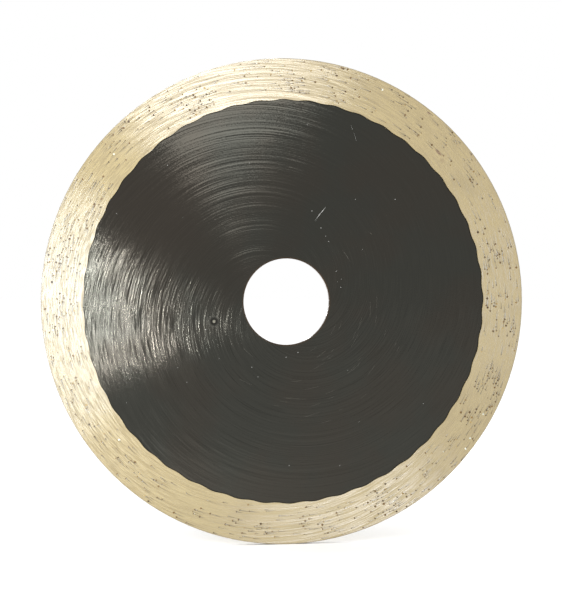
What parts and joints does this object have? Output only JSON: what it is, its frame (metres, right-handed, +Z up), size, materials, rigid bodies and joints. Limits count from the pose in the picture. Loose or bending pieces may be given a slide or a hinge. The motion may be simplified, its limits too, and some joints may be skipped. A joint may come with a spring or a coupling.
{
  "type": "diamond blade",
  "caption": "Thin steel disc with a round bore and a continuous sintered diamond rim, for cutting tile, stone and porcelain on a small grinder or saw.",
  "frame": {"origin": "centre of the bore, halfway through the steel core", "axes": "+Y along the spin axis and out of the back face; the front face with the hardness-test mark looks towards -Y; +Z up"},
  "size_m": [0.125, 0.002, 0.125],
  "materials": {
    "blackened_steel": "blackened, circular-brushed satin",
    "bronze_bond": "ground satin",
    "diamond": "glossy crystals"
  },
  "bodies": {
    "root": {"core": "blackened_steel", "rim": "bronze_bond", "grit_front_flank": "diamond", "grit_back_flank": "diamond", "grit_cutting_edge": "diamond"}
  },
  "joints": []
}
